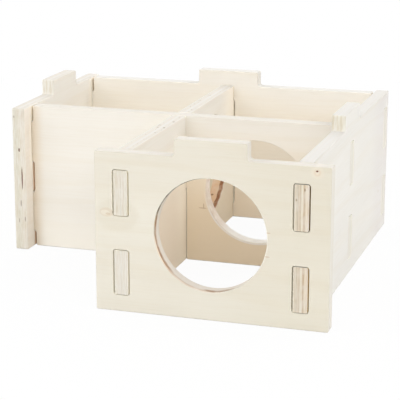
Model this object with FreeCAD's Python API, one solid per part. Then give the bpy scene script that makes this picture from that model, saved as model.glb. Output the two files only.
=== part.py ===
"""Hamster house of six plywood panels, millimetres.

The house has no floor and an open top. It stands on its panel edges and shelters
three chambers: one at the front right, one behind it and one at the rear left, so
the plan is an L. Two long panels carry the layout. The long partition runs from the
front to the back, and the cross partition runs from side to side; they cross in a
cross-lap joint. Every other joint is a pair of through tenons in a pair of mortises.

All panels are cut from one sheet with one round cutter, so every inner corner has the
cutter's radius. The root fillets of a tenon reach the corners of its mortise before the
shoulders close, which leaves the thin dark gap beside each joint. The rims of outlines
and doorways are eased, and the mortises stay as cut. The tabs that stand up from the
outer panels locate a lift-off lid.

Frame: +X to the right of someone who faces the entrance, +Y towards the back, +Z up.
The origin is on the ground at the centre of the footprint.
"""
import FreeCAD, Part
import math
import os
from FreeCAD import Vector

os.makedirs("parts", exist_ok=True)

# Sheet and cutter
sheet = 9.0                  # thickness of the plywood
cutter_radius = 2.0          # left in every inner corner
corner_radius = 1.0          # sanded outer corners of panels and tabs
arris = 0.4                  # chamfer along outlines and doorways

# Chambers, inside sizes
wall_height = 100.0
left_chamber_width = 103.0
right_chamber_width = 103.0
front_chamber_depth = 105.0
rear_chamber_depth = 105.0

# How far panels run past the ones that they are joined to
front_overhang_left = 12.0   # front panel past the long partition
front_overhang_right = 13.0  # front panel past the right side
left_side_overhang = 12.0    # left side in front of the cross partition
rear_overhang = 6.0          # both sides behind the back panel

# Round doorways
front_door_diameter = 70.0
cross_door_diameter = 70.0
rear_door_diameter = 70.0
front_door_height = 53.0     # centre of the entrance above the ground
cross_door_height = 51.0     # centre of the doorway between front and rear chamber
rear_door_height = 53.0      # centre of the doorway between the rear chambers
cross_door_shift = -2.5      # from the middle of the right-hand chambers

# Through tenons and their mortises
tenon_height = 28.0
lower_tenon_bottom = 10.7
upper_tenon_bottom = 60.7
tenon_headroom = 0.2         # over a tenon, past the fillets of its mortise
tenon_side_play = 0.9        # on each face of a tenon
seat_clearance = 0.15        # over the corner fillets of a mortise or notch

# Cross-lap joint of the two partitions
lap_height = 50.0            # where the two notches meet
lap_side_play = 0.3          # on each face of a panel in its notch

# Tabs that locate the lid
tab_height = 10.5
front_tab_length = 45.0
back_tab_length = 45.0
left_tab_length = 42.0
right_tab_length = 45.0


def fillet_rise(run):
    """Height of the cutter's fillet above a floor, at this distance from the side wall."""
    return cutter_radius - math.sqrt(cutter_radius ** 2 - (cutter_radius - run) ** 2)


# A sheet in a slot stands on the two corner fillets, clear of the slot's floor.
tenon_float = fillet_rise(tenon_side_play) + seat_clearance
lap_float = fillet_rise(lap_side_play) + seat_clearance / 2

# The root fillet of a tenon meets the corner fillets of its mortise at this shoulder gap.
shoulder_gap = fillet_rise(seat_clearance)

# Faces of the panels across the house (X) and along it (Y), from the front left
# corner of the front panel, before the origin is moved to the middle.
partition_left = front_overhang_left
partition_right = partition_left + sheet
right_inner = partition_right + right_chamber_width
right_outer = right_inner + sheet
front_end = right_outer + front_overhang_right
left_inner = partition_left - left_chamber_width
left_outer = left_inner - sheet
front_rear = sheet
cross_front = front_rear + front_chamber_depth
cross_rear = cross_front + sheet
back_front = cross_rear + rear_chamber_depth
back_rear = back_front + sheet
sides_end = back_rear + rear_overhang
left_start = cross_front - left_side_overhang
partition_middle = partition_left + sheet / 2
right_middle = right_inner + sheet / 2
cross_middle = cross_front + sheet / 2
back_middle = back_front + sheet / 2
origin = Vector((left_outer + front_end) / 2, sides_end / 2, 0)


def across(front_face):
    """Placing rule and thickness vector of a panel that runs along X."""
    return (lambda s, z: Vector(s, front_face, z)), Vector(0, sheet, 0)


def along(left_face):
    """Placing rule and thickness vector of a panel that runs along Y."""
    return (lambda s, z: Vector(left_face, s, z)), Vector(sheet, 0, 0)


def closed_wire(corners, place):
    """Closed wire through (s, z, radius) corners, each rounded by its radius or square at 0."""
    rounded = []
    for index, (s, z, radius) in enumerate(corners):
        here = place(s, z)
        before = place(*corners[index - 1][:2])
        after = place(*corners[(index + 1) % len(corners)][:2])
        back_way = (before - here).normalize()
        on_way = (after - here).normalize()
        half_turn = back_way.getAngle(on_way) / 2
        setback = radius / math.tan(half_turn)
        to_middle = (back_way + on_way).normalize() * (radius / math.sin(half_turn) - radius)
        rounded.append((here + back_way * setback, here + to_middle, here + on_way * setback))
    edges = []
    for index, (start, middle, end) in enumerate(rounded):
        if start != end:
            edges.append(Part.Arc(start, middle, end).toShape())
        edges.append(Part.LineSegment(end, rounded[(index + 1) % len(rounded)][0]).toShape())
    return Part.Wire(edges)


def end_corners(shoulder, tip):
    """Corners of a panel end with two square-tipped tenons, from the ground up."""
    corners = [(shoulder, 0, corner_radius)]
    for bottom in (lower_tenon_bottom, upper_tenon_bottom):
        corners.append((shoulder, bottom, cutter_radius))
        corners.append((tip, bottom, 0))
        corners.append((tip, bottom + tenon_height, 0))
        corners.append((shoulder, bottom + tenon_height, cutter_radius))
    corners.append((shoulder, wall_height, corner_radius))
    return corners


def plain_corners(end):
    """Corners of a panel end with no tenons, from the ground up."""
    return [(end, 0, corner_radius), (end, wall_height, corner_radius)]


def tab_corners(middle, length):
    """Corners of a lid tab on the top edge, from right to left."""
    right = middle + length / 2
    left = middle - length / 2
    top = wall_height + tab_height
    return [(right, wall_height, cutter_radius), (right, top, corner_radius),
            (left, top, corner_radius), (left, wall_height, cutter_radius)]


def notch_corners(middle, edge, floor):
    """Corners of a cross-lap notch from an edge of the panel to the notch's floor."""
    half = sheet / 2 + lap_side_play
    turn = 1 if edge < floor else -1
    left = middle - turn * half
    right = middle + turn * half
    return [(left, edge, corner_radius), (left, floor, cutter_radius),
            (right, floor, cutter_radius), (right, edge, corner_radius)]


def mortise(middle, tenon_bottom, place):
    """Closed wire of the mortise for a tenon of the panel whose mid-plane is at middle."""
    left = middle - sheet / 2 - tenon_side_play
    right = middle + sheet / 2 + tenon_side_play
    low = tenon_bottom - tenon_float
    high = tenon_bottom + tenon_height + tenon_float + tenon_headroom
    corners = [(left, low), (right, low), (right, high), (left, high)]
    return closed_wire([(s, z, cutter_radius) for s, z in corners], place)


def doorway(middle, height, diameter, place, normal):
    """Round doorway as a closed wire."""
    return Part.Wire([Part.Circle(place(middle, height), normal, diameter / 2).toShape()])


def sheet_faces(blank, thickness):
    """The two faces that lie square to the thickness; all the others are cut edges."""
    return [face for face in blank.Faces if abs(face.normalAt(0, 0).dot(thickness)) > sheet / 2]


def panel(plane, left_end, right_end, top=(), bottom=(), mortise_middles=(), doors=()):
    """One panel: outline and doorways with their rims eased, then mortises with crisp mouths."""
    place, thickness = plane
    outline = list(bottom) + list(right_end) + list(top) + list(reversed(left_end))
    wires = [closed_wire(outline, place)]
    for middle, height, diameter in doors:
        wires.append(doorway(middle, height, diameter, place, thickness))
    blank = Part.Face(wires, "Part::FaceMakerBullseye").extrude(thickness)
    rims = [edge for face in sheet_faces(blank, thickness) for edge in face.Edges]
    finished = blank.makeChamfer(arris, rims)
    for middle in mortise_middles:
        for tenon_bottom in (lower_tenon_bottom, upper_tenon_bottom):
            finished = finished.cut(Part.Face(mortise(middle, tenon_bottom, place)).extrude(thickness))
    finished.translate(-origin)
    return finished


def partition_ends(front_face, back_face):
    """Shoulders and flush tips for a panel held between two outer faces."""
    return front_face + sheet + shoulder_gap, front_face, back_face - shoulder_gap, back_face + sheet


# Shoulders and tenon tips: the tips are flush with the far face of the mortised panel.
front_shoulder, front_tip, back_shoulder, back_tip = partition_ends(0, back_front)
left_shoulder, left_tip, right_shoulder, right_tip = partition_ends(left_outer, right_inner)

panels = {
    "front_panel": panel(
        across(0),
        plain_corners(0), plain_corners(front_end),
        top=tab_corners(front_end / 2, front_tab_length),
        mortise_middles=(partition_middle, right_middle),
        doors=[(front_end / 2, front_door_height, front_door_diameter)]),
    "cross_partition": panel(
        across(cross_front),
        end_corners(left_shoulder, left_tip), end_corners(right_shoulder, right_tip),
        bottom=notch_corners(partition_middle, 0, lap_height + lap_float),
        doors=[((partition_right + right_inner) / 2 + cross_door_shift,
                cross_door_height, cross_door_diameter)]),
    "back_panel": panel(
        across(back_front),
        end_corners(left_shoulder, left_tip), end_corners(right_shoulder, right_tip),
        top=tab_corners(partition_middle, back_tab_length),
        mortise_middles=(partition_middle,)),
    "left_side_panel": panel(
        along(left_outer),
        plain_corners(left_start), plain_corners(sides_end),
        top=tab_corners((cross_rear + back_front) / 2, left_tab_length),
        mortise_middles=(cross_middle, back_middle)),
    "right_side_panel": panel(
        along(right_inner),
        end_corners(front_shoulder, front_tip), plain_corners(sides_end),
        top=tab_corners(cross_middle, right_tab_length),
        mortise_middles=(cross_middle, back_middle)),
    "long_partition": panel(
        along(partition_left),
        end_corners(front_shoulder, front_tip), end_corners(back_shoulder, back_tip),
        top=notch_corners(cross_middle, wall_height, lap_height - lap_float),
        doors=[((cross_rear + back_front) / 2, rear_door_height, rear_door_diameter)]),
}

for name, shape in panels.items():
    shape.exportStep(f"parts/{name}.step")
    box = shape.BoundBox
    print(f"{name}: {box.XLength:.1f} x {box.YLength:.1f} x {box.ZLength:.1f} mm, "
          f"{shape.Volume / 1000:.1f} cm3, valid {shape.isValid()}")
print(f"shoulder gap {shoulder_gap:.2f} mm")
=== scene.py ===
# %% [markdown]
# # A hamster house of slotted plywood
# The real house is six pieces of 9 mm plywood that are pushed together with through
# tenons. Their shapes are already exact in the CAD frame, so this lesson is about the
# material: how one solid texture can show veneer on the faces of a sheet and plies, end
# grain, glue lines and scorching on its cut edges. The scene is in metres, but patterns
# are worked out in millimetres, because that is how a maker measures plywood.

# %% Load the frame
import math
from typing import NamedTuple

import bpy
import numpy as np
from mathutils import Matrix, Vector


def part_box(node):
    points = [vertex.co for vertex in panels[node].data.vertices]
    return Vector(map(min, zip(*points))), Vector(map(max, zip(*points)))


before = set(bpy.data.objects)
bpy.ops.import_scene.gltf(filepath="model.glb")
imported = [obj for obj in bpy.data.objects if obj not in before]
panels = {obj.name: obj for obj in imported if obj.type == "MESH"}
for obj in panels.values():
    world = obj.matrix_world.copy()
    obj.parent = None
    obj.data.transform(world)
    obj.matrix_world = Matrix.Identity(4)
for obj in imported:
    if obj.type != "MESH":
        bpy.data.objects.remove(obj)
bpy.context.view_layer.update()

MM = 0.001
print("panels:", sorted(panels))

# %% [markdown]
# ## The camera
# The house is seen from in front, a little from its right and from above, through a long
# lens that keeps the edges of the panels nearly parallel.

# %% Set up the camera
CAMERA_TURN = math.radians(17.645)
CAMERA_TILT = math.radians(14.976)
CAMERA_DISTANCE = 0.95419                       # m
CAMERA_AIM = Vector((0.022953, -0.0615, 0.058011))
FOCAL_LENGTH, SENSOR_WIDTH = 135.31, 36.0       # mm
SHIFT_RIGHT, SHIFT_UP = 0.0072, -0.00125        # shares of the picture's width

towards_camera = Vector((math.sin(CAMERA_TURN) * math.cos(CAMERA_TILT),
                         -math.cos(CAMERA_TURN) * math.cos(CAMERA_TILT),
                         math.sin(CAMERA_TILT)))
camera_data = bpy.data.cameras.new("camera")
camera_data.sensor_width = SENSOR_WIDTH
camera_data.lens = FOCAL_LENGTH
camera_data.shift_x, camera_data.shift_y = SHIFT_RIGHT, SHIFT_UP
camera = bpy.data.objects.new("camera", camera_data)
camera.location = CAMERA_AIM + towards_camera * CAMERA_DISTANCE
camera.rotation_euler = towards_camera.to_track_quat("Z", "Y").to_euler()
bpy.context.scene.collection.objects.link(camera)
bpy.context.scene.camera = camera
print("camera at", [round(value, 3) for value in camera.location])

# %% [markdown]
# ## A short way to write shader nodes
# A material is a graph, and a graph written node by node hides its idea. This small class
# turns each node into a call, so that a pattern reads like the formula it stands for.
# Colours are given as they look on a screen, from 0 to 255, and turned into light here.

# %% Define the recipe class
def paint(red, green, blue):
    """Screen colour, 0 to 255, as linear light with full alpha."""
    screen = np.array([red, green, blue]) / 255
    linear = np.where(screen <= 0.04045, screen / 12.92, ((screen + 0.055) / 1.055) ** 2.4)
    return (*linear, 1.0)


def grey(level):
    """The same strength in all three colours."""
    return (level, level, level, 1.0)


BLACK, WHITE = grey(0.0), grey(1.0)


class Recipe:
    """The node graph of one material or of the world."""

    def __init__(self, owner):
        self.owner = owner
        owner.use_nodes = True
        self.graph = owner.node_tree
        self.graph.nodes.clear()

    def node(self, kind, inputs=None, **settings):
        """Add a node; each input is a number, a colour, a vector or another node's output."""
        made = self.graph.nodes.new(kind)
        for name, value in settings.items():
            setattr(made, name, value)
        for key, value in (inputs or {}).items():
            if isinstance(value, bpy.types.NodeSocket):
                self.graph.links.new(value, made.inputs[key])
            else:
                made.inputs[key].default_value = value
        return made

    def math(self, operation, *values):
        """Arithmetic on numbers."""
        return self.node("ShaderNodeMath", dict(enumerate(values)), operation=operation).outputs[0]

    def product(self, *values):
        """All the values multiplied together."""
        total = values[0]
        for value in values[1:]:
            total = self.math("MULTIPLY", total, value)
        return total

    def invert(self, mask):
        """1 where the mask is 0, and 0 where it is 1."""
        return self.math("SUBTRACT", 1.0, mask)

    def away(self, value, place):
        """Distance of a value from a place."""
        return self.math("ABSOLUTE", self.math("SUBTRACT", value, place))

    def mean(self, amount, low, high):
        """The first number at 0, the second at 1 and their weighted mean between."""
        return self.node("ShaderNodeMix", {0: amount, 2: low, 3: high}).outputs[0]

    def vector(self, operation, *values):
        """Arithmetic on vectors."""
        return self.node("ShaderNodeVectorMath", dict(enumerate(values)), operation=operation).outputs[0]

    def length(self, vector):
        """Length of a vector."""
        return self.node("ShaderNodeVectorMath", {0: vector}, operation="LENGTH").outputs["Value"]

    def join(self, x, y, z):
        """Vector from three numbers."""
        return self.node("ShaderNodeCombineXYZ", {0: x, 1: y, 2: z}).outputs[0]

    def rise(self, value, start, end, low=0.0, high=1.0):
        """Low before start, high after end and smooth between; start may be the larger."""
        inputs = {"Value": value, "From Min": start, "From Max": end, "To Min": low, "To Max": high}
        return self.node("ShaderNodeMapRange", inputs, interpolation_type="SMOOTHSTEP").outputs[0]

    def between(self, value, limits, soft):
        """1 between the limits, with this much softness inside each of them."""
        first, last = limits
        return self.product(self.rise(value, first, first + soft), self.rise(value, last, last - soft))

    def noise(self, place, size, detail=2.0, rough=0.5):
        """Smooth noise about 0.5, with features this many mm across."""
        inputs = {"Vector": place, "Scale": 1 / size, "Detail": detail, "Roughness": rough}
        return self.node("ShaderNodeTexNoise", inputs).outputs["Fac"]

    def ramp(self, value, stops, interpolation="LINEAR"):
        """Colour read from (position, colour) stops."""
        made = self.node("ShaderNodeValToRGB", {0: value})
        made.color_ramp.interpolation = interpolation
        elements = made.color_ramp.elements
        while len(elements) < len(stops):
            elements.new(1.0)
        for element, (position, colour) in zip(elements, stops):
            element.position = position
            element.color = colour
        return made.outputs[0]

    def blend(self, amount, below, above, kind="MIX"):
        """Two colours mixed by an amount from 0 to 1, or multiplied together."""
        made = self.node("ShaderNodeMix", {0: amount, 6: below, 7: above}, data_type="RGBA")
        made.blend_type = kind
        return made.outputs[2]

    def seen(self):
        """1 for rays from the camera, and for those that gloss or glass has passed on."""
        path = self.node("ShaderNodeLightPath").outputs
        passed_on = self.math("MAXIMUM", path["Is Glossy Ray"], path["Is Transmission Ray"])
        return self.math("MAXIMUM", path["Is Camera Ray"], passed_on)

    def choose(self, amount, first, second):
        """Two shaders mixed: the first at 0, the second at 1."""
        return self.node("ShaderNodeMixShader", {0: amount, 1: first, 2: second}).outputs[0]


print("a screen grey of 188 is", round(paint(188, 188, 188)[0], 3), "of full light")

# %% [markdown]
# ## Which way each sheet lies
# A sheet's thickness is the shortest side of its box. Its veneers and its core run along
# the ground, and the plies between them stand upright. Every pattern below is written in
# the sheet's own directions: along the veneer's grain, up, and through the sheet from its
# first face, which is the left or the front one. The same formulas then serve all six
# panels.

# %% Read each sheet's directions from the frame
class Sheet:
    """Where a panel lies, in mm: the axes of its thickness and its grain, and its faces.

    The inner face looks to the middle of the house, and outwards is the way out from it.
    """

    def __init__(self, name):
        low, high = (np.array(corner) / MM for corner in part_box(name))
        self.thick_axis = int(np.argmin(high - low))
        self.grain_axis = 1 - self.thick_axis
        self.first_face, self.last_face = low[self.thick_axis], high[self.thick_axis]
        self.thickness = self.last_face - self.first_face
        self.middle = (self.first_face + self.last_face) / 2
        self.start, self.top = low[self.grain_axis], high[2]
        self.outwards = -1 if self.middle < 0 else 1
        self.inner = self.last_face if self.middle < 0 else self.first_face


sheets = {name: Sheet(name) for name in sorted(panels)}
for name, sheet in sheets.items():
    print(f"{name}: {sheet.thickness:.1f} mm through {'XYZ'[sheet.thick_axis]}, "
          f"faces at {sheet.first_face:.1f} and {sheet.last_face:.1f} mm, top at {sheet.top:.1f} mm")

# %% [markdown]
# ## The solid texture of plywood
# Real plywood is a stack of veneers that were peeled from a log and glued with their
# fibres crossed. A picture wrapped round the panel could not show that, because the lines
# on a cut edge must be the ends of the layers inside. A solid texture can: it gives the
# colour of every point in the block, and the panel's shape only uncovers some of them.
# One noise, stretched along the fibres of each ply, then appears as long streaks where a
# ply is cut along its fibres and as small specks where they are cut across.

# %% Define the stack of plies
PLY_CUTS = (0.16, 0.42, 0.67, 0.88)     # glue lines, as shares of the thickness
PLY_WAVE, PLY_SWELL = 34.0, 0.9         # how far apart and how deep the plies wave, mm
FIBRE_STRETCH = 28.0                    # a fibre's streak is this much longer than wide
GLUE_LINE = 0.16                        # half the width of a glue line with its stain, mm
SEED_STEP = (137.0, 71.0, 19.0)         # how far apart the noises of two sheets are read, mm


class Block:
    """Places, masks and grain inside one sheet, as sockets that the finish can mix."""

    def __init__(self, recipe, sheet, seed):
        self.recipe = recipe
        self.sheet = sheet
        coordinates = recipe.node("ShaderNodeTexCoord")
        in_mm = recipe.vector("MULTIPLY", coordinates.outputs["Object"], (1 / MM,) * 3)
        place = recipe.node("ShaderNodeSeparateXYZ", {0: in_mm}).outputs
        facing = recipe.node("ShaderNodeSeparateXYZ", {0: coordinates.outputs["Normal"]}).outputs
        self.along, self.up = place[sheet.grain_axis], place[2]
        self.depth = recipe.math("SUBTRACT", place[sheet.thick_axis], sheet.first_face)
        self.place = recipe.join(self.along, self.up, self.depth)
        self.loose = recipe.vector("ADD", self.place, tuple(seed * step for step in SEED_STEP))
        self.facing_along = recipe.math("ABSOLUTE", facing[sheet.grain_axis])
        self.facing_up = recipe.math("ABSOLUTE", facing[2])
        # Facing out is 1 on a face, 0.7 on an eased rim and 0 on a square cut.
        facing_out = recipe.math("ABSOLUTE", facing[sheet.thick_axis])
        self.on_edge = recipe.rise(facing_out, 0.9, 0.8)
        self.square_cut = recipe.rise(facing_out, 0.6, 0.5)
        self.eased = recipe.math("SUBTRACT", self.on_edge, self.square_cut)
        self.find_faces()
        self.stack_plies()
        self.lay_fibres()

    def find_faces(self):
        """The flat faces, each under the name of the side that it looks to."""
        recipe = self.recipe
        self.bare = recipe.invert(self.on_edge)
        halfway = self.sheet.thickness / 2
        last = recipe.math("MULTIPLY", recipe.rise(self.depth, halfway - 0.5, halfway + 0.5), self.bare)
        first = recipe.math("SUBTRACT", self.bare, last)
        self.faces = {"left": first, "front": first, "right": last, "back": last}
        self.inner_face = last if self.sheet.outwards < 0 else first

    def stack_plies(self):
        """Ply masks from the depth, which waves a little as peeled veneer does."""
        recipe = self.recipe
        swell = recipe.math("SUBTRACT", recipe.noise(self.loose, PLY_WAVE, 1.0), 0.5)
        layer = recipe.math("ADD", self.depth, recipe.math("MULTIPLY", swell, PLY_SWELL))
        self.layer = recipe.math("DIVIDE", layer, self.sheet.thickness)
        steps = [(0.0, BLACK)] + [(cut, (WHITE, BLACK)[index % 2]) for index, cut in enumerate(PLY_CUTS)]
        self.crossed = recipe.ramp(self.layer, steps, "CONSTANT")
        half = GLUE_LINE / self.sheet.thickness
        lines = []
        for cut in PLY_CUTS:
            lines += [(cut - half, BLACK), (cut, WHITE), (cut + half, BLACK)]
        self.glue = recipe.ramp(self.layer, lines)

    def lay_fibres(self):
        """Fibre space: the place, squeezed along the fibres of its own ply."""
        recipe = self.recipe
        along = recipe.vector("MULTIPLY", self.loose, (1 / FIBRE_STRETCH, 1, 1))
        upright = recipe.vector("MULTIPLY", self.loose, (1, 1 / FIBRE_STRETCH, 1))
        mixed = recipe.node("ShaderNodeMix", {0: self.crossed, 4: along, 5: upright}, data_type="VECTOR")
        self.fibre = mixed.outputs[1]
        self.end_grain = recipe.rise(recipe.mean(self.crossed, self.facing_along, self.facing_up), 0.45, 0.8)


print("plies in mm:", np.round(np.diff((0, *PLY_CUTS, 1)) * sheets["front_panel"].thickness, 2))

# %% [markdown]
# ## The finish is laid over the block in coats
# A maker would describe a panel as bare wood, then the glue lines on its edges, then the
# places that the cutter scorched, then a knot or a torn fibre here and there. The classes
# below keep one running colour and one running height, and each method lays a coat over
# them through a mask. The first class is the bare wood: its masks come from the plies.

# %% Define the bare wood
STREAK_WIDTH, PORE_WIDTH, GAP_WIDTH = 1.3, 0.45, 2.1    # across the fibres, mm
PORE_SHIFT, GAP_SHIFT = (31.0, 17.0, 5.0), (7.0, 53.0, 29.0)    # where their noises are read
FIGURE_STRETCH = 7.0                    # clouds and rings are this much longer than high
CLOUD_SIZE, BEND_SIZE = 26.0, 48.0      # of the veneer's two tones and of its rings' bends, mm
RING_TURN, RING_BEND = 0.35, 28.8       # phase of the rings per mm of height, and from their bends
PATCH_SIZE = 7.0                        # how far apart a line or a burn comes and goes, mm
RELIEF = 0.12                           # full relief of the grain, mm

PLY_TONES = (paint(226, 223, 217), paint(225, 221, 213), paint(227, 224, 217),
             paint(225, 221, 213), paint(226, 223, 217))
# Painted light: the top tone makes level edges a little darker and cooler, and the eased tone is painted
# shade on eased rims.
END_TONE, TOP_PAINTED_LIGHT, EASED_PAINTED_SHADE = paint(254, 252, 248), paint(244, 243, 243), paint(246, 245, 243)
RING_TONE, STREAK_TONE, PORE_TONE = paint(250, 246, 238), paint(247, 241, 231), paint(232, 219, 198)
GLUE, VOID = paint(176, 152, 120), paint(150, 130, 110)


class BareWood(Block):
    """One sheet's material before it is marked: veneer on the faces and plies on the edges."""

    def __init__(self, name, seed, veneer, top_painted_light=TOP_PAINTED_LIGHT):
        self.name = name
        super().__init__(Recipe(bpy.data.materials.new("plywood_" + name)), sheets[name], seed)
        self.colour = self.recipe.blend(self.square_cut, self.figure(veneer), self.plies(top_painted_light))
        # Painted shade on the eased rims, which keeps down the highlight that they catch.
        self.coat(self.eased, EASED_PAINTED_SHADE, "MULTIPLY")
        self.grain()

    def coat(self, mask, colour, kind="MIX"):
        """Lay a colour over the wood, or multiply the wood by it, where the mask is 1."""
        self.colour = self.recipe.blend(mask, self.colour, colour, kind)

    def sink(self, mask, depth):
        """Lower the surface by this share of the full relief where the mask is 1."""
        lowered = self.recipe.math("MULTIPLY", mask, depth)
        self.height = self.recipe.math("SUBTRACT", self.height, lowered)

    def figure(self, veneer):
        """Colour of a face: clouds of the veneer's two tones, and rings that bend along it."""
        recipe = self.recipe
        broad = recipe.vector("MULTIPLY", self.loose, (1 / FIGURE_STRETCH, 1, 1))
        face = recipe.blend(recipe.rise(recipe.noise(broad, CLOUD_SIZE), 0.3, 0.7), *veneer)
        bend = recipe.math("MULTIPLY", recipe.noise(broad, BEND_SIZE, 1.0), RING_BEND)
        ring = recipe.math("SINE", recipe.math("ADD", recipe.math("MULTIPLY", self.up, RING_TURN), bend))
        return recipe.blend(recipe.rise(ring, 0.2, 1.0, 0.0, 0.2), face, RING_TONE, "MULTIPLY")

    def plies(self, top_painted_light):
        """Colour of a cut edge: a tone for each ply, deeper on end grain, with painted cool light on level
        edges.
        """
        recipe = self.recipe
        edge = recipe.ramp(self.layer, list(zip((0.0, *PLY_CUTS), PLY_TONES)), "CONSTANT")
        edge = recipe.blend(self.end_grain, edge, END_TONE, "MULTIPLY")
        return recipe.blend(self.facing_up, edge, top_painted_light, "MULTIPLY")

    def grain(self):
        """Streaks and pores along the fibres, as tones and as relief."""
        recipe = self.recipe
        self.streaks = recipe.noise(self.fibre, STREAK_WIDTH, 3.0, 0.6)
        self.coat(recipe.rise(self.streaks, 0.6, 0.25, 0.0, 0.16), STREAK_TONE, "MULTIPLY")
        pores = recipe.noise(recipe.vector("ADD", self.fibre, PORE_SHIFT), PORE_WIDTH, 1.0)
        pores = recipe.rise(pores, 0.60, 0.74)
        on_cut = recipe.rise(self.facing_up, 0.3, 0.8, 0.3, 0.12)
        self.coat(recipe.product(pores, recipe.mean(self.on_edge, 0.07, on_cut)), PORE_TONE, "MULTIPLY")
        self.height = recipe.math("SUBTRACT", recipe.math("MULTIPLY", self.streaks, 0.5),
                                  recipe.math("MULTIPLY", pores, 0.35))

    def glue_lines(self, strength, above=0.35):
        """Dark lines between the plies, which come and go; level edges show this share of them."""
        recipe = self.recipe
        patches = recipe.rise(recipe.noise(self.loose, PATCH_SIZE, 3.0), 0.38, 0.62, 0.35, 1.0)
        from_above = recipe.rise(self.facing_up, 0.3, 0.8, 1.0, above)
        line = recipe.product(self.glue, self.on_edge, patches, from_above, strength)
        self.coat(line, GLUE)
        self.sink(line, 0.4)

    def voids(self, rarity=0.69):
        """Gaps between the strips of a crossed ply, dark and long along its fibres."""
        recipe = self.recipe
        gaps = recipe.noise(recipe.vector("ADD", self.fibre, GAP_SHIFT), GAP_WIDTH, 1.0)
        gap = recipe.product(recipe.rise(gaps, rarity, rarity + 0.04), self.crossed, self.on_edge)
        self.coat(gap, VOID)
        self.sink(gap, 2.0)

    def calm_top(self, tone, strength):
        """Level edges, with their plies and relief nearly sanded away."""
        recipe = self.recipe
        top = recipe.product(recipe.rise(self.facing_up, 0.85, 0.95), self.on_edge, strength)
        self.coat(top, tone)
        self.height = recipe.math("MULTIPLY", self.height, recipe.invert(top))

    def finish(self):
        """Shade the wood as a matt surface and give it to the panel's node."""
        recipe = self.recipe
        bump = recipe.node("ShaderNodeBump",
                           {"Strength": 0.55, "Distance": RELIEF * MM, "Height": self.height})
        roughness = recipe.rise(self.streaks, 0.3, 0.7, 0.82, 0.64)
        shader = recipe.node("ShaderNodeBsdfPrincipled",
                             {"Base Color": self.colour, "Roughness": roughness,
                              "Normal": bump.outputs[0], "IOR": 1.4})
        recipe.node("ShaderNodeOutputMaterial", {"Surface": shader.outputs[0]})
        mesh = panels[self.name].data
        mesh.materials.clear()
        mesh.materials.append(recipe.owner)
        print(f"{self.name}: {len(recipe.graph.nodes)} shader nodes")


print("plies:", len(PLY_TONES), "with", GLUE_LINE * 2, "mm between them stained by glue")

# %% [markdown]
# ## Knots, torn fibres, tones and painted room light
# The next class marks the wood. A knot or a torn fibre is an ellipsoid inside the block,
# and its noise makes the outline ragged. A tone covers a face or a part of it. Real veneer
# is seldom even, but the tones laid over parts of the rooms are painted light: warm bounce
# light low down, where two sheets throw light on each other, and painted light and shade near corners.

# %% Define the marks
RAGGED, RAGGED_SIZE = 0.3, 1.6          # a mark's surface moves by this share, at this spacing in mm
SKIN = 0.8                              # how deep a mark on a face or an end reaches, mm
RIGHT_THROUGH = 30.0                    # a radius that takes in the whole thickness, mm
TONE_WAVE, TONE_SWELL = 40.0, 16.0      # how far apart and how high the edge of painted room light waves, mm
ROOM_LIGHT_HEIGHTS = (104.0, 50.0)                # heights where painted room light starts and where it is full, mm

KNOT_COATS = ((2.0, paint(236, 226, 210), 0.4),         # halo: size, colour and strength
              (1.1, paint(224, 206, 184), 0.65),        # ring
              (0.6, paint(236, 228, 212), 0.7))         # pith
KNOT_HEART = paint(110, 56, 38)


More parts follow.
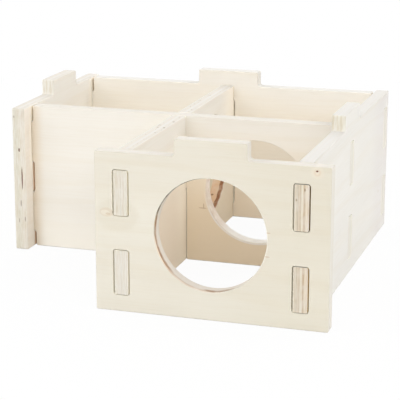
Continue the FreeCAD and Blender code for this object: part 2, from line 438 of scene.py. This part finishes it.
class MarkedWood(BareWood):
    """Wood with knots, torn fibres, uneven tones and painted room light."""

    def inside(self, centre, radii, soft=0.2):
        """1 inside an ellipsoid round (along, up, depth), with a soft and ragged surface."""
        recipe = self.recipe
        offset = recipe.vector("DIVIDE", recipe.vector("SUBTRACT", self.place, centre), radii)
        wobble = recipe.math("SUBTRACT", recipe.noise(self.loose, RAGGED_SIZE), 0.5)
        distance = recipe.math("ADD", recipe.length(offset), recipe.math("MULTIPLY", wobble, RAGGED))
        return recipe.rise(distance, 1 + soft, 1 - soft)

    def knot(self, along, up, radius):
        """A pin knot: halo, ring, pith and a dark heart off its middle, all as shares of its radius."""
        for size, colour, strength in KNOT_COATS:
            reach = radius * size
            mask = self.inside((along, up, 0.0), (reach, reach * 0.9, RIGHT_THROUGH), 0.35)
            self.coat(self.recipe.math("MULTIPLY", mask, strength), colour)
        heart = self.inside((along - 0.1 * radius, up + 0.5 * radius, 0.0),
                            (radius * 0.36, radius * 0.26, RIGHT_THROUGH), 0.4)
        self.coat(heart, KNOT_HEART)
        self.sink(heart, 1.0)

    def tear(self, centre, radii, colour, strength):
        """A torn or stained fibre, with its centre and radii along, up and through the sheet."""
        mask = self.recipe.math("MULTIPLY", self.inside(centre, radii), strength)
        self.coat(mask, colour)
        self.sink(mask, 0.6)

    def face_tear(self, along, up, radii, colour, strength, depth=0.0):
        """A torn or stained fibre on a face: the first face, unless a depth is given."""
        self.tear((along, up, depth), (*radii, SKIN), colour, strength)

    def end_tear(self, up, depth, radii, colour, strength):
        """A torn or stained fibre on the sheet's front end."""
        self.tear((self.sheet.start, up, depth), (SKIN, *radii), colour, strength)

    def tone_face(self, side, tone, share=1.0, kind="MULTIPLY"):
        """Lay a tone over the face that looks to this side, or over a share of it."""
        self.coat(self.recipe.math("MULTIPLY", self.faces[side], share), tone, kind)

    def tone_towards(self, side, start, end, tone):
        """Lay a tone over a face, from nothing at start to full at end along it."""
        self.tone_face(side, tone, self.recipe.rise(self.along, start, end))

    def paint_room_light(self, side, span, tone, kind="MULTIPLY", soft=1.0, heights=ROOM_LIGHT_HEIGHTS):
        """Lay painted room light over a face between two places along it, the first of them soft.

        It grows from nothing at the first of the heights to full at the second one.
        """
        recipe = self.recipe
        start, end = span
        along = recipe.math("MULTIPLY", recipe.rise(self.along, start - soft, start + soft),
                            recipe.rise(self.along, end + 1, end - 1))
        wave = recipe.math("MULTIPLY", recipe.noise(self.loose, TONE_WAVE), TONE_SWELL)
        grown = recipe.rise(recipe.math("ADD", self.up, wave), *heights)
        self.tone_face(side, tone, recipe.math("MULTIPLY", along, grown), kind)


print("a tone that grows low down is full at", ROOM_LIGHT_HEIGHTS[1], "mm above the ground")

# %% [markdown]
# ## Where the sheets meet
# The joints are known from the frame: a sheet's tenons start at the inner face of the sheet
# that holds them, and mortises lie where other sheets cross. Their walls are pale as fresh
# cuts are, and painted near white, which is painted light in the narrow gaps. The strip of
# face behind a shoulder is seen through a narrow gap; it is painted light tan, painted light
# that leaves the shaded gap brown. Some flanks of tenons are browner still.

# %% Define the joints
WALL_TOP = sheets["long_partition"].top
MORTISE_REACH = 5.7                     # from the crossing sheet's middle, past the mortise's wall, mm
NOTCH_REACH = 6.2                       # the same for the notch of the cross-lap, mm
HIDDEN_REACH = 4.4                      # from the crossing sheet's middle to just inside its face, mm
RIM_MARGIN = 5.0                        # no mortise lies this close to the sheet's top or bottom, mm
ANY_DEPTH, ANY_HEIGHT = (-1.0, 10.0), (-10.0, 110.0)    # limits past the wood on both sides, mm
FRONT_FLANK, RIGHT_FLANK = (-1.0, 0.7), (8.0, 10.0)     # depths of one side of a tenon, mm
LOWER_TENON = (-10.0, 50.0)             # heights that take in the lower tenon alone, mm
GAP_LIGHT_TURN = (84.0, 92.0)               # heights between which the painted gap light turns to its lighter tone at the top, mm
UNEVEN_SIZE = 8.0                       # how far apart the tones of an end face come and go, mm
FINE_WIDTH, FINE_STRETCH = 0.6, 16.0    # of the fine streaks on an end face, mm and times longer

# Painted light: the wall tone is the pale of fresh cuts raised near white to light the narrow gaps, and the
# tan tones are painted light in the gap behind a shoulder.
FRESH_CUT_AND_GAP_LIGHT = paint(255, 251, 238)
GAP_LIGHT_TAN, GAP_LIGHT_TOP = paint(246, 210, 176), paint(255, 242, 220)
FINE_STREAK = paint(240, 233, 222)


class JoinedWood(MarkedWood):
    """Wood with the marks of its joints."""

    def beside(self, neighbour, reach):
        """1 within this distance of the middle of a sheet that crosses this one."""
        aside = self.recipe.away(self.along, sheets[neighbour].middle)
        return self.recipe.rise(aside, reach + 0.2, reach - 0.2)

    def mortises(self, neighbour, gap_light=GAP_LIGHT_TAN, gap_top_light=GAP_LIGHT_TOP):
        """The walls of the mortises that hold a sheet, and painted light in the gap at its shoulder."""
        recipe = self.recipe
        heights = recipe.between(self.up, (RIM_MARGIN, WALL_TOP - RIM_MARGIN), 2.0)
        near = self.beside(neighbour, MORTISE_REACH)
        self.coat(recipe.product(near, heights, self.on_edge), FRESH_CUT_AND_GAP_LIGHT)
        below_top = recipe.rise(self.up, WALL_TOP - 0.4, WALL_TOP - 1.0)
        strip = recipe.product(self.beside(neighbour, HIDDEN_REACH), below_top, self.inner_face, 0.9)
        self.coat(strip, recipe.blend(recipe.rise(self.up, *GAP_LIGHT_TURN), gap_light, gap_top_light))

    def tenon_flanks(self, holder, wall=FRESH_CUT_AND_GAP_LIGHT, depths=ANY_DEPTH, heights=ANY_HEIGHT):
        """The sides of the tenons past the inner face of the sheet that holds them, or part of them."""
        recipe = self.recipe
        inner, outwards = sheets[holder].inner, sheets[holder].outwards
        past = recipe.rise(self.along, inner - 0.2 * outwards, inner + 0.4 * outwards)
        part = recipe.product(recipe.between(self.depth, depths, 0.5), recipe.between(self.up, heights, 1.0))
        not_tip = recipe.rise(self.facing_along, 0.6, 0.4)
        self.coat(recipe.product(past, part, not_tip), wall)

    def shoulder(self, holder):
        """The end face between and beside the tenons, one side of the thin gap, painted near white as
        painted light.
        """
        recipe = self.recipe
        close = recipe.rise(recipe.away(self.along, sheets[holder].inner), 2.4, 2.0)
        below_top = recipe.rise(self.up, WALL_TOP - 1.4, WALL_TOP - 2.4)
        self.coat(recipe.product(close, self.square_cut, self.facing_along, below_top), FRESH_CUT_AND_GAP_LIGHT)

    def cross_lap(self, neighbour):
        """The walls of the notch in a cross-lap, and the faces inside the other sheet, painted near white as
        painted light in the gap.
        """
        walls = self.recipe.product(self.beside(neighbour, NOTCH_REACH), self.facing_along, self.on_edge)
        self.coat(walls, FRESH_CUT_AND_GAP_LIGHT)
        self.coat(self.recipe.product(self.beside(neighbour, HIDDEN_REACH), self.bare), FRESH_CUT_AND_GAP_LIGHT)

    def end_plies(self, end, base, rows):
        """One end face: its own wood, fine upright streaks and a tone for each layer.

        The rows are (share of the thickness, red, green, blue).
        """
        recipe = self.recipe
        close = recipe.product(recipe.rise(recipe.away(self.along, end), 1.2, 0.8), self.facing_along)
        self.coat(recipe.math("MULTIPLY", close, 0.8), base)
        uneven = recipe.rise(recipe.noise(self.loose, UNEVEN_SIZE), 0.35, 0.6, 0.45, 1.0)
        tones = [(position, paint(*colour)) for position, *colour in rows]
        self.coat(recipe.math("MULTIPLY", close, uneven), recipe.ramp(self.layer, tones), "MULTIPLY")
        upright = recipe.vector("MULTIPLY", self.loose, (0.0, 1 / FINE_STRETCH, 1.0))
        fine = recipe.rise(recipe.noise(upright, FINE_WIDTH, 2.0, 0.6), 0.58, 0.36, 0.0, 0.7)
        self.coat(recipe.math("MULTIPLY", close, fine), FINE_STREAK, "MULTIPLY")


print("mortise walls are toned up to", MORTISE_REACH, "mm from the crossing sheet's middle")

# %% [markdown]
# ## Burnt doorways, with a painted highlight
# A cutter that goes round in a circle meets the grain at every angle and burns the wood
# where it lingers. The wall of a doorway lies at its radius from its centre, so a burn is a
# direction from that centre, a band of depths and a colour. Low down, a pale band on the face
# round the lip is a painted highlight.

# %% Define the doorways
DOORWAY_RADIUS = 35.0
DOORWAYS = {"front_panel": (50.0, 53.0),        # centres, along the sheet and up, mm
            "long_partition": (54.0, 53.0),
            "cross_partition": (47.0, 51.0)}
BURN_WAVE, BURN_SWELL = 5.0, 1.6                # how far apart and how deep a burn's edge waves, mm
RIM_HIGHLIGHT_HEIGHTS = (3.0, -22.0)                             # heights over the centre where the painted rim highlight starts and is full, mm
# The rim tone is a painted highlight.
LIP, RIM_HIGHLIGHT = paint(246, 242, 232), paint(253, 246, 240)


class Burn(NamedTuple):
    """A burnt part of a doorway's wall."""

    colour: tuple
    towards: tuple      # (along, up) direction from the doorway's centre
    reach: tuple        # how far that way it starts and is full, as shares of the radius
    depths: tuple       # between these depths, mm
    share: float        # how much of the wood's own colour it covers


class Plywood(JoinedWood):
    """Wood with everything that a panel of this house may show."""

    def doorway(self, wall, strength, burns, rim_highlight_out=0.0):
        """Ease a doorway's lip, tint its wall, burn it, and paint a highlight this many mm out from its
        lower rim.
        """
        recipe = self.recipe
        along, up = DOORWAYS[self.name]
        across = recipe.math("SUBTRACT", self.along, along)
        above = recipe.math("SUBTRACT", self.up, up)
        radius = recipe.length(recipe.join(across, above, 0.0))
        near = recipe.rise(radius, DOORWAY_RADIUS + 1.2, DOORWAY_RADIUS + 0.7)
        self.coat(recipe.math("MULTIPLY", near, self.eased), LIP)
        self.coat(recipe.product(near, self.square_cut, strength), wall)
        # Painted highlight: a pale band on the face round the lower part of the lip.
        if rim_highlight_out:
            rim = recipe.rise(radius, DOORWAY_RADIUS + rim_highlight_out + 0.4, DOORWAY_RADIUS + rim_highlight_out - 0.4)
            self.coat(recipe.product(rim, self.bare, recipe.rise(above, *RIM_HIGHLIGHT_HEIGHTS)), RIM_HIGHLIGHT)
        patches = recipe.rise(recipe.noise(self.loose, PATCH_SIZE, 3.0), 0.3, 0.6, 0.55, 1.0)
        wave = recipe.math("MULTIPLY", recipe.noise(self.loose, BURN_WAVE), BURN_SWELL)
        ragged = recipe.math("ADD", self.depth, wave)
        for burn in burns:
            right, high = (part / DOORWAY_RADIUS for part in burn.towards)
            that_way = recipe.math("ADD", recipe.math("MULTIPLY", across, right),
                                   recipe.math("MULTIPLY", above, high))
            front, rear = burn.depths
            band = recipe.product(recipe.rise(ragged, front, front + 0.6),
                                  recipe.rise(ragged, rear + 0.8, rear - 0.8))
            spread = recipe.rise(that_way, *burn.reach)
            self.coat(recipe.product(near, self.on_edge, band, spread, patches, burn.share), burn.colour)


print("doorway centres, along and up in mm:", DOORWAYS)

# %% [markdown]
# ## Front panel
# The front panel shows the most: a cream veneer with its grain along the ground, one pin
# knot at its top right corner, a bark stain at the left and small tears beside the
# entrance. The entrance's lip is burnt dark at the upper left, its wall is orange-brown at
# the left, and a few small places are brown lower down.

# %% Finish the front panel
CREAM = (paint(225, 219, 205), paint(229, 224, 211))
CRACK = paint(190, 160, 126)
WARM_BOUNCE_LIGHT = paint(254, 246, 232)
BARK_AND_TEARS = ((-9.0, 61.0, (14.0, 10.0), paint(212, 202, 181), 0.3),    # place, radii and strength
                  (-15.4, 62.4, (4.4, 2.8), paint(214, 197, 173), 0.5),
                  (-16.4, 62.2, (2.8, 1.6), paint(230, 222, 206), 0.8),
                  (-14.6, 61.4, (1.5, 0.7), paint(200, 178, 150), 0.5),
                  (85.6, 58.0, (1.5, 0.3), CRACK, 0.6),
                  (85.2, 43.3, (1.6, 0.3), CRACK, 0.6))


def room(before, after):
    """The span across a room, from the last face of one sheet to the first face of the next."""
    return sheets[before].last_face, sheets[after].first_face


front = Plywood("front_panel", 1, CREAM)
front.glue_lines(0.25)
front.mortises("long_partition")
front.mortises("right_side_panel")
front.doorway(paint(226, 219, 209), 0.85,
              (Burn(paint(110, 102, 80), (-0.8, 0.6), (0.6, 0.9), (-1.0, 3.0), 1.0),
               Burn(paint(236, 212, 180), (-0.97, -0.26), (0.78, 0.93), (-1.0, 1.2), 0.8),
               Burn(paint(170, 130, 96), (-0.97, -0.26), (0.82, 0.93), (1.2, 4.2), 0.95),
               Burn(paint(196, 168, 142), (-0.41, -0.91), (0.76, 0.92), (-1.0, 2.8), 0.6),
               Burn(paint(150, 116, 84), (0.16, -0.99), (0.95, 0.99), (0.9, 4.4), 0.9),
               Burn(paint(190, 182, 164), (0.62, -0.78), (0.88, 0.96), (-1.0, 2.4), 0.55)))
front.knot(114.5, 96.4, 1.9)
for mark in BARK_AND_TEARS:
    front.face_tear(*mark)
# Painted warm bounce light low down on the inner face in the right room.
front.paint_room_light("back", room("long_partition", "right_side_panel"), WARM_BOUNCE_LIGHT)
# Painted shade: the front face grows a little darker towards its right end, where the light falls off.
front.tone_towards("front", 30.0, 112.0, paint(250, 249, 246))
front.finish()

# %% [markdown]
# ## The two partitions
# Both are of one pale veneer, like the left side. The long partition's doorway is burnt low
# down towards the back, right through its wall. The cross partition's doorway came out
# clean: its wall is slightly pink at the left, its lip is a little brown above, and a painted
# highlight lies on the face below it. Their faces get painted warm bounce light low down,
# deep in the rooms, and painted light and shade near the corners.

# %% Finish the partitions
PALE = (paint(236, 231, 222), paint(239, 235, 227))
cross_front, back_front = sheets["cross_partition"].first_face, sheets["back_panel"].first_face
left_inner = sheets["left_side_panel"].inner

long_wall = Plywood("long_partition", 2, PALE)
long_wall.glue_lines(0.5, 0.22)
long_wall.voids()
long_wall.tenon_flanks("front_panel")
# Painted light: the right flanks near white, to light the gap beside them.
long_wall.tenon_flanks("front_panel", paint(255, 246, 222), RIGHT_FLANK)
long_wall.cross_lap("cross_partition")
long_wall.tenon_flanks("back_panel")
long_wall.end_plies(long_wall.sheet.start, paint(225, 220, 211),
                    ((0.0, 255, 254, 248), (0.14, 255, 254, 248), (0.20, 250, 247, 240),
                     (0.44, 255, 254, 250), (0.50, 242, 241, 238), (0.58, 255, 255, 252),
                     (0.70, 248, 245, 238), (0.74, 255, 255, 252), (1.0, 255, 255, 250)))
long_wall.end_tear(24.7, 4.5, (17.0, 6.0), paint(231, 229, 224), 0.22)
long_wall.shoulder("back_panel")
long_wall.doorway(paint(240, 226, 206), 0.6,
                  (Burn(paint(224, 186, 148), (0.55, -0.83), (0.2, 0.75), (-1.0, 9.4), 0.9),
                   Burn(paint(150, 102, 70), (0.55, -0.83), (0.2, 0.75), (6.4, 9.4), 1.0)))
long_wall.tear((74.0, 25.0, 2.2), (1.0, 1.0, 1.2), paint(140, 100, 72), 0.8)
# Painted room light: warm bounce light low down in both rooms, and painted light near the cross partition
# and near the back.
long_wall.paint_room_light("right", room("front_panel", "cross_partition"), paint(246, 233, 216), "MIX")
long_wall.paint_room_light("right", (cross_front - 16.5, cross_front + 0.5), paint(253, 244, 229), "MIX",
                    soft=14.0)
long_wall.paint_room_light("right", room("cross_partition", "back_panel"), paint(247, 234, 214), "MIX",
                    heights=(84.0, 30.0))
long_wall.paint_room_light("right", (back_front - 18.5, back_front + 2.5), paint(255, 247, 233), "MIX",
                    soft=20.0, heights=(46.0, 70.0))
long_wall.finish()

cross_wall = Plywood("cross_partition", 3, PALE)
cross_wall.glue_lines(0.3)
cross_wall.tenon_flanks("left_side_panel")
cross_wall.tenon_flanks("right_side_panel")
# Painted shade: the front flanks of the right tenons are near black, standing in for the shade in their gap.
cross_wall.tenon_flanks("right_side_panel", paint(50, 44, 26), FRONT_FLANK)
cross_wall.cross_lap("long_partition")
cross_wall.shoulder("left_side_panel")
# Painted room light: warm bounce light low down in the right room, painted shade in the left corner, and
# painted light low down in the left room.
cross_wall.paint_room_light("front", room("long_partition", "right_side_panel"), paint(246, 230, 206), "MIX",
                     heights=(104.0, 40.0))
cross_wall.tone_towards("front", left_inner + 10.0, left_inner, paint(245, 236, 224))
cross_wall.paint_room_light("front", (left_inner + 6.0, sheets["long_partition"].first_face),
                     paint(253, 248, 238), "MIX", soft=4.0, heights=(50.0, -6.0))
cross_wall.doorway(paint(255, 253, 249), 1.0,
                   (Burn(paint(206, 172, 140), (0.0, 1.0), (0.2, 0.75), (-1.0, 0.8), 0.6),
                    Burn(paint(230, 214, 200), (-0.98, -0.17), (0.60, 0.98), (-1.0, 11.0), 1.0)),
                   rim_highlight_out=1.4)
cross_wall.face_tear(9.6, 37.2, (2.8, 0.35), CRACK, 0.6)
cross_wall.face_tear(10.4, 38.8, (0.35, 1.7), CRACK, 0.6)
cross_wall.finish()

# %% [markdown]
# ## The left side
# Its front edge shows the plies best of all, because nothing stands before it. Dark gaps
# are laid where strips of the inner plies failed to meet: each has its place in the
# thickness, its height above the ground and its own size.

# %% Finish the left side
PLY_GAP = paint(112, 72, 54)
LEFT_GAPS = ((0.50, 71.0, 1.3, 0.55, 0.9),      # place, height, radius upwards and through, strength
             (0.68, 51.0, 7.4, 0.45, 0.95),
             (0.15, 94.0, 0.9, 0.4, 0.5),
             (0.54, 33.2, 2.4, 0.35, 0.6),
             (0.84, 22.0, 1.8, 0.3, 0.6),
             (0.36, 20.8, 1.6, 0.3, 0.5))
LEFT_TAB_FRONT = 33.0                   # where the tab's front end face stands, mm

left = Plywood("left_side_panel", 4, PALE)
left.glue_lines(0.2)
left.mortises("cross_partition")
left.mortises("back_panel", gap_top_light=paint(255, 232, 206))
left.end_plies(left.sheet.start, paint(229, 224, 216),
               ((0.0, 250, 253, 250), (0.17, 250, 252, 246), (0.23, 240, 240, 232),
                (0.30, 246, 247, 240), (0.62, 250, 249, 243), (0.68, 255, 254, 250),
                (0.86, 252, 249, 243), (1.0, 255, 254, 250)))
for place, height, upwards, through, strength in LEFT_GAPS:
    left.end_tear(height, place * left.sheet.thickness, (upwards, through), PLY_GAP, strength)
left.end_tear(22.0, 0.0, (36.0, 3.0), paint(219, 210, 192), 0.3)
left.end_plies(LEFT_TAB_FRONT, paint(238, 235, 226),
               ((0.0, 255, 255, 255), (0.30, 255, 255, 255), (0.36, 244, 240, 230),
                (0.42, 255, 255, 255), (0.66, 255, 255, 255), (0.70, 243, 240, 230),
                (0.76, 255, 255, 255)))
left.tone_face("left", paint(248, 247, 243))
left.knot(88.0, 28.0, 2.0)
# Painted room light on the inner face: warm bounce light low down in the back room, painted shade over the
# front room, and painted light near the corners with the cross partition and the back.
left.paint_room_light("right", room("cross_partition", "back_panel"), WARM_BOUNCE_LIGHT)
left.tone_towards("right", cross_front + 0.5, cross_front - 1.5, paint(254, 250, 247))
left.paint_room_light("right", (cross_front - 3.5, cross_front + 0.5), paint(250, 242, 228), "MIX",
               soft=3.0, heights=(54.0, 70.0))
left.paint_room_light("right", (back_front - 4.5, back_front + 2.5), paint(251, 243, 228), "MIX",
               soft=7.0, heights=(46.0, 70.0))
left.finish()

# %% [markdown]
# ## The right side
# This sheet is greyer: partly its own veneer and partly painted cool light, and its level
# edges, sanded almost clean, get a bluish painted cool light. The front tenons have darker
# end grain than any other, and their right flanks are brown on the upper tenon, pale orange
# on the lower one.

# %% Finish the right side
RIGHT_TAB_FRONT = -25.5                 # where the tab's front end face stands, mm

# Painted cool light: the greyer veneer is partly painted cool light, and the last colour is painted cool
# light on the level edges.
right = Plywood("right_side_panel", 5, (paint(228, 225, 219), paint(231, 228, 222)), paint(243, 243, 248))
right.glue_lines(0.25, 0.08)
right.voids(0.71)
right.tenon_flanks("front_panel")
right.tenon_flanks("front_panel", paint(176, 150, 108), RIGHT_FLANK)
right.tenon_flanks("front_panel", paint(246, 220, 168), RIGHT_FLANK, LOWER_TENON)
right.calm_top(paint(214, 211, 205), 0.75)
right.mortises("cross_partition")
right.mortises("back_panel")
right.end_plies(right.sheet.start, paint(224, 217, 206),
                ((0.0, 255, 252, 244), (0.10, 254, 250, 242), (0.15, 240, 235, 224),
                 (0.22, 242, 238, 229), (0.25, 214, 204, 188), (0.29, 244, 238, 228),
                 (0.40, 238, 229, 215), (0.44, 224, 213, 196), (0.48, 248, 242, 232),
                 (0.53, 255, 255, 250), (0.60, 255, 254, 246), (0.64, 236, 220, 200),
                 (0.69, 212, 192, 166), (0.73, 238, 225, 207), (0.79, 255, 248, 238),
                 (1.0, 255, 248, 240)))
right.end_plies(RIGHT_TAB_FRONT, paint(235, 232, 221),
                ((0.0, 255, 255, 255), (0.08, 246, 242, 232), (0.14, 246, 242, 232),
                 (0.20, 255, 255, 255), (0.36, 255, 255, 255), (0.42, 248, 244, 235),
                 (0.48, 255, 255, 255), (0.62, 252, 250, 244), (0.69, 240, 234, 222),
                 (0.76, 252, 250, 244), (0.84, 255, 255, 255)))
right.end_tear(85.8, 6.3, (1.0, 0.5), paint(150, 128, 100), 0.8)
right.end_tear(79.4, 1.4, (0.8, 0.5), paint(160, 140, 112), 0.7)
right.face_tear(92.3, 32.2, (1.6, 1.2), paint(214, 206, 190), 0.6, depth=right.sheet.thickness)
# Painted warm bounce light low down on the inner face.
right.paint_room_light("left", room("front_panel", "back_panel"), WARM_BOUNCE_LIGHT)
right.tone_towards("right", -96.0, -113.0, paint(249, 245, 234))
right.tone_towards("right", 56.0, 96.0, paint(251, 250, 252))
right.finish()

# %% [markdown]
# ## The back
# The back is of the lightest veneer, and only its inner face and its tab are seen from the
# front. Its inner face gets painted warm bounce light low down, as light passed on between the
# walls of a room would give, and painted shade lower in the right room. It is warm low down, where light has
# been passed on between the walls of a room.

# %% Finish the back
# The last colour is a bluish painted cool light on the back's level edges.
rear = Plywood("back_panel", 6, (paint(245, 240, 230), paint(248, 244, 236)), paint(248, 250, 254))
rear.glue_lines(0.3)
rear.tenon_flanks("left_side_panel")
rear.tenon_flanks("right_side_panel")
rear.mortises("long_partition", paint(255, 232, 204))
rear.shoulder("left_side_panel")
rear.tone_face("back", paint(240, 238, 233))
rear.knot(-66.0, 40.0, 2.4)
# Painted warm bounce light low down in both rooms, and painted shade lower in the right room.
rear.paint_room_light("front", room("left_side_panel", "long_partition"), WARM_BOUNCE_LIGHT)
right_room = room("long_partition", "right_side_panel")
rear.paint_room_light("front", right_room, paint(251, 247, 241), heights=(112.0, 70.0))
rear.paint_room_light("front", right_room, paint(255, 241, 221), "MIX", heights=(50.0, 14.0))
rear.finish()

# %% [markdown]
# ## The floor
# The house stands on a white sheet of paper. It is one flat surface worked out in rings
# round the house, so that its rim is far outside any view. To the camera it is mostly
# plain white, and a small share of it takes real light, which leaves a faint shadow.

# %% Lay the floor
FLOOR_RADIUS = 3.0
FLOOR_RINGS, FLOOR_SPOKES = 24, 96
FLOOR_WHITE = (0.80, 0.80, 0.79, 1.0)
SHADOW_SHARE = 0.055
SHADOW_FADE = (0.25, 0.7)       # distances from the middle at which it starts to fade and is gone, m


def disc(name, radius, rings, spokes):
    """Flat disc: point (ring, spoke) is at radius * (ring/rings)**2, turned by 2 pi * spoke/spokes."""
    ring, spoke = np.meshgrid(np.arange(rings + 1), np.arange(spokes), indexing="ij")
    reach = radius * (ring / rings) ** 2
    turn = 2 * math.pi * spoke / spokes
    points = np.stack([reach * np.cos(turn), reach * np.sin(turn), 0 * reach], -1).reshape(-1, 3)
    here = (ring * spokes + spoke)[:-1].ravel()
    beside = (ring * spokes + (spoke + 1) % spokes)[:-1].ravel()
    faces = np.stack([here, here + spokes, beside + spokes, beside], -1)
    mesh = bpy.data.meshes.new(name)
    mesh.from_pydata(points.tolist(), [], faces.tolist())
    mesh.validate()
    made = bpy.data.objects.new(name, mesh)
    bpy.context.scene.collection.objects.link(made)
    return made


floor = disc("floor", FLOOR_RADIUS, FLOOR_RINGS, FLOOR_SPOKES)
paper = Recipe(bpy.data.materials.new("white_paper"))
matt = paper.node("ShaderNodeBsdfDiffuse", {"Color": FLOOR_WHITE}).outputs[0]
plain = paper.node("ShaderNodeEmission", {"Color": WHITE, "Strength": 1.0}).outputs[0]
away = paper.length(paper.node("ShaderNodeTexCoord").outputs["Object"])
shadowed = paper.choose(paper.rise(away, *SHADOW_FADE, SHADOW_SHARE, 0.0), plain, matt)
surface = paper.choose(paper.seen(), matt, shadowed)
paper.node("ShaderNodeOutputMaterial", {"Surface": surface})
floor.data.materials.append(paper.owner)
print("floor:", len(floor.data.polygons), "faces")

# %% [markdown]
# ## Soft light from all round
# White wood shows its colour best in a light tent. The world is that tent. Its band
# between the horizon and the top is the brightest, as when soft boxes stand all round, so
# light reaches down into the open chambers. One weak lamp in front and above gives the
# edges a side that is a little brighter. The tent itself looks plain white to the camera.

# %% Light the house
HORIZON_LIGHT, BAND_LIGHT, ZENITH_LIGHT = 0.42, 2.4, 0.4
TENT = ((0.0, HORIZON_LIGHT), (0.30, HORIZON_LIGHT), (0.40, BAND_LIGHT), (0.70, BAND_LIGHT),
        (0.80, ZENITH_LIGHT))           # light at each height on a ball of radius 1
TENT_STRENGTH = 2.0                     # taken out of the ramp's colours and put back by the shader
KEY_POWER, KEY_SIZE = 0.6, 0.9          # W and m
KEY_PLACE, KEY_AIM = Vector((0.45, -0.95, 1.1)), Vector((0, 0, 0.05))

world = bpy.data.worlds.new("light_tent")
bpy.context.scene.world = world
tent = Recipe(world)
direction = tent.node("ShaderNodeSeparateXYZ", {0: tent.node("ShaderNodeTexCoord").outputs["Generated"]})
light = tent.ramp(direction.outputs[2], [(height, grey(level / TENT_STRENGTH)) for height, level in TENT])
soft = tent.node("ShaderNodeBackground", {"Color": light, "Strength": TENT_STRENGTH}).outputs[0]
white = tent.node("ShaderNodeBackground", {"Color": WHITE, "Strength": 1.0}).outputs[0]
tent.node("ShaderNodeOutputWorld", {"Surface": tent.choose(tent.seen(), soft, white)})

key_data = bpy.data.lights.new("key", "AREA")
key_data.shape = "DISK"
key_data.size = KEY_SIZE
key_data.energy = KEY_POWER
key = bpy.data.objects.new("key", key_data)
key.location = KEY_PLACE
key.rotation_euler = (KEY_PLACE - KEY_AIM).to_track_quat("Z", "Y").to_euler()
bpy.context.scene.collection.objects.link(key)
bpy.context.scene.view_settings.view_transform = "Standard"
print("tent:", HORIZON_LIGHT, BAND_LIGHT, ZENITH_LIGHT, "and key:", KEY_POWER, "W")
